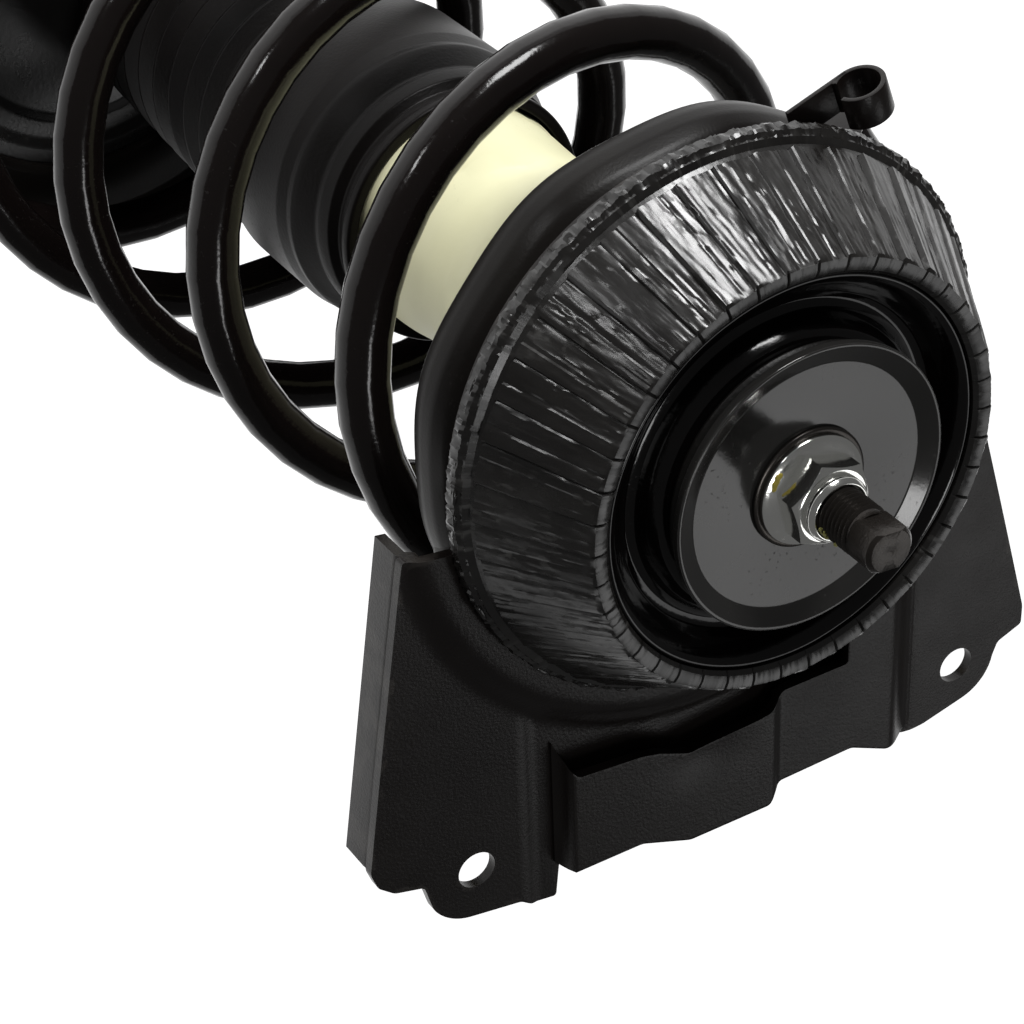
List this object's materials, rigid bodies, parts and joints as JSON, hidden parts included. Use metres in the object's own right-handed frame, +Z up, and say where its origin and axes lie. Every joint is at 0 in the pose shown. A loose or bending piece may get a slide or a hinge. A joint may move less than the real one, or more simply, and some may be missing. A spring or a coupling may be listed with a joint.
{
  "type": "loaded suspension strut assembly",
  "caption": "MacPherson strut with coil spring, bump stop, dust boot, ribbed rubber top mount, bolt-on upper bracket and knuckle clamp bracket.",
  "frame": {"origin": "on the piston rod's axis, level with the rim of the mount washer", "axes": "+Z up along the piston rod towards its threaded end, -Y out along the upper bracket, -X towards the knuckle bracket's open side"},
  "size_m": [0.1935, 0.1968, 0.5855],
  "materials": {
    "rod_steel": "ground rod with a dark machined thread",
    "zinc": "bright zinc plate",
    "dark_steel": "dark phosphated steel",
    "washer_coat": "satin black coating",
    "cup_coat": "gloss black coating",
    "rubber": "black rubber",
    "cone_rubber": "ribbed black rubber, slightly shiny, dusted grey",
    "bracket_coat": "satin black electrocoat",
    "isolator_rubber": "smooth matte dark grey rubber",
    "stop_foam": "cream moulded polyurethane",
    "boot_rubber": "matte black moulded rubber",
    "spring_coat": "gloss black powder coat",
    "tube_coat": "semi-gloss black paint",
    "sintered_iron": "machined sintered iron",
    "ring_plastic": "low friction plastic band",
    "bronze": "bronze backed bush",
    "bare_tube": "drawn steel tube"
  },
  "bodies": {
    "top_mount": {"piston_rod": "rod_steel", "rod_nut": "zinc", "nut_seat": "dark_steel", "mount_washer": "washer_coat", "top_cushion": "rubber", "mount_cup": "cup_coat", "inner_sleeve": "dark_steel", "mount_bush": "rubber", "cone_core": "rubber", "ribbed_cone": "cone_rubber", "upper_bracket": "bracket_coat", "dome_ring": "bracket_coat", "bracket_bridge": "bracket_coat", "curled_clip": "bracket_coat", "upper_isolator": "isolator_rubber", "stop_cup": "bracket_coat", "bump_stop": "stop_foam", "boot_collar": "boot_rubber", "dust_boot": "boot_rubber", "coil_spring": "spring_coat", "rebound_stop": "dark_steel", "piston_shims": "dark_steel", "piston": "sintered_iron", "piston_ring": "ring_plastic", "lower_shims": "dark_steel", "piston_nut": "zinc"},
    "strut_tube": {"tube_cap": "tube_coat", "outer_tube": "tube_coat", "rod_seal": "rubber", "rod_guide": "sintered_iron", "guide_bush": "bronze", "inner_tube": "bare_tube", "base_valve": "sintered_iron", "tube_plug": "tube_coat", "lower_seat": "tube_coat", "seat_gusset": "tube_coat", "lower_isolator": "isolator_rubber", "knuckle_bracket": "tube_coat", "link_tab": "tube_coat", "hose_tab": "tube_coat"}
  },
  "joints": [
    {"name": "strut_travel", "type": "slide", "parent": "top_mount", "child": "strut_tube", "axis": [0, 0, 1], "range_m": [0, 0.07], "stiffness_N_per_m": 23000, "springref_m": -0.065, "deforming": ["coil_spring", "dust_boot"]}
  ]
}
